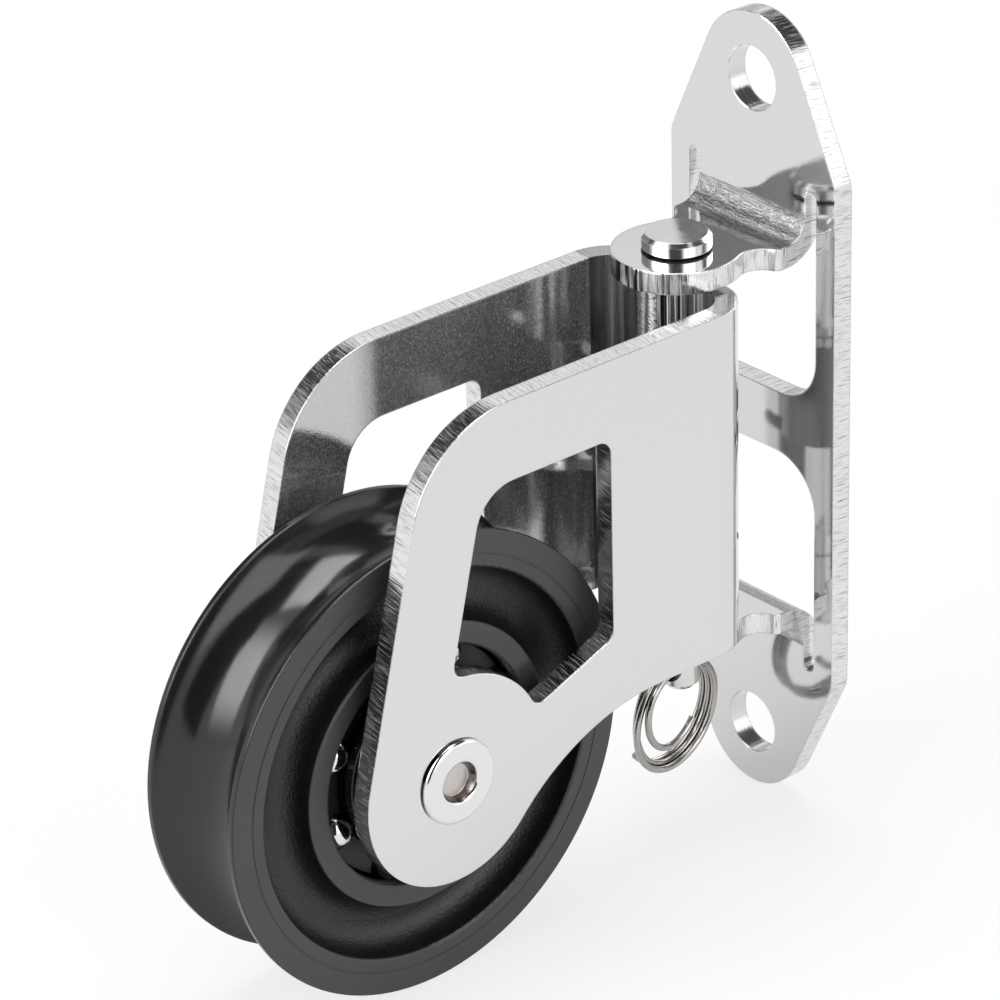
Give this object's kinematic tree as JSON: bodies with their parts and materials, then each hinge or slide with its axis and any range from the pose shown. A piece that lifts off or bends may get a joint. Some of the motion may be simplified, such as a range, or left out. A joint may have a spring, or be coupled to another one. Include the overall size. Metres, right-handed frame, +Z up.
{
  "type": "wall-mounted swivel pulley block",
  "caption": "Wall bracket with two bolt lobes and folded ears, a pinned U-shaped yoke that swings from side to side, and a ball-bearing rope sheave on a rivet axle.",
  "frame": {"origin": "centre of the wall plate's back face, midway between the two bolt holes", "axes": "+Z up along the plate, +Y into the wall, the block stands out along -Y, X along the sheave's axle at rest"},
  "size_m": [0.0292, 0.0939, 0.1075],
  "materials": {
    "polished_sheet": "mirror-polished stainless sheet",
    "turned_pin": "turned and polished stainless bar",
    "spring_wire": "drawn stainless spring wire",
    "rivet_steel": "polished stainless rivet",
    "bearing_steel": "polished steel balls",
    "acetal_sheave": "satin black moulded acetal",
    "acetal_race": "satin black machined acetal",
    "nylon_cage": "matt black moulded nylon"
  },
  "bodies": {
    "bracket": {"wall_bracket": "polished_sheet"},
    "pin": {"hinge_pin": "turned_pin"},
    "ring": {"split_ring": "spring_wire"},
    "yoke": {"yoke": "polished_sheet", "axle_rivet": "rivet_steel", "inner_race_near": "acetal_race", "inner_race_far": "acetal_race"},
    "sheave": {"sheave": "acetal_sheave"},
    "balls_near": {"ball_row_near": "bearing_steel", "ball_cage_near": "nylon_cage"},
    "balls_far": {"ball_row_far": "bearing_steel", "ball_cage_far": "nylon_cage"}
  },
  "joints": [
    {"name": "yoke_swivel", "type": "hinge", "parent": "bracket", "child": "yoke", "pos_m": [0, -0.0155, 0], "axis": [0, 0, 1], "range_deg": [-75, 75]},
    {"name": "hinge_pin_turn", "type": "hinge", "parent": "bracket", "child": "pin", "pos_m": [0, -0.0155, 0], "axis": [0, 0, 1], "continuous": true},
    {"name": "split_ring_swing", "type": "hinge", "parent": "pin", "child": "ring", "pos_m": [0, -0.0155, -0.0314], "axis": [-0.1478, 0.989, 0], "range_deg": [-54, 46]},
    {"name": "sheave_spin", "type": "hinge", "parent": "yoke", "child": "sheave", "pos_m": [0, -0.0639, -0.0239], "axis": [1, 0, 0], "continuous": true},
    {"name": "balls_near_orbit", "type": "hinge", "parent": "yoke", "child": "balls_near", "pos_m": [0.005, -0.0639, -0.0239], "axis": [1, 0, 0], "continuous": true},
    {"name": "balls_far_orbit", "type": "hinge", "parent": "yoke", "child": "balls_far", "pos_m": [-0.005, -0.0639, -0.0239], "axis": [1, 0, 0], "continuous": true}
  ],
  "couplings": [
    {"joint": "balls_near_orbit", "follows": "sheave_spin", "ratio": 0.5875},
    {"joint": "balls_far_orbit", "follows": "sheave_spin", "ratio": 0.5875}
  ]
}
